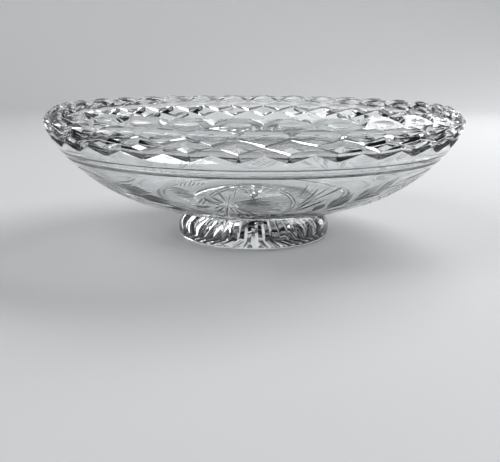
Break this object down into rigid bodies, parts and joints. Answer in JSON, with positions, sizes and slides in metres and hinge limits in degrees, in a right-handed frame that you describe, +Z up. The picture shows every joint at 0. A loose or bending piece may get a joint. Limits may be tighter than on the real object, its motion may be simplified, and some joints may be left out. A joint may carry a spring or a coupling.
{
  "type": "footed crystal bowl",
  "caption": "Wide shallow bowl of clear crystal on a low solid foot, with a scalloped toothed rim, a band of cut diamonds and turned rings.",
  "frame": {"origin": "on the axis of the bowl, in the plane that the foot rests on", "axes": "+Z up along the axis of the bowl, -Y towards the viewer of the picture, +X to the viewer's right"},
  "size_m": [0.2498, 0.2498, 0.08],
  "materials": {
    "bowl_crystal": "clear colourless crystal, fire-polished inside, cut and polished outside",
    "merese_crystal": "clear colourless crystal, fire-polished",
    "foot_crystal": "clear colourless crystal, polished, with a star cut underneath"
  },
  "bodies": {
    "root": {"bowl": "bowl_crystal", "merese": "merese_crystal", "foot": "foot_crystal"}
  },
  "joints": []
}
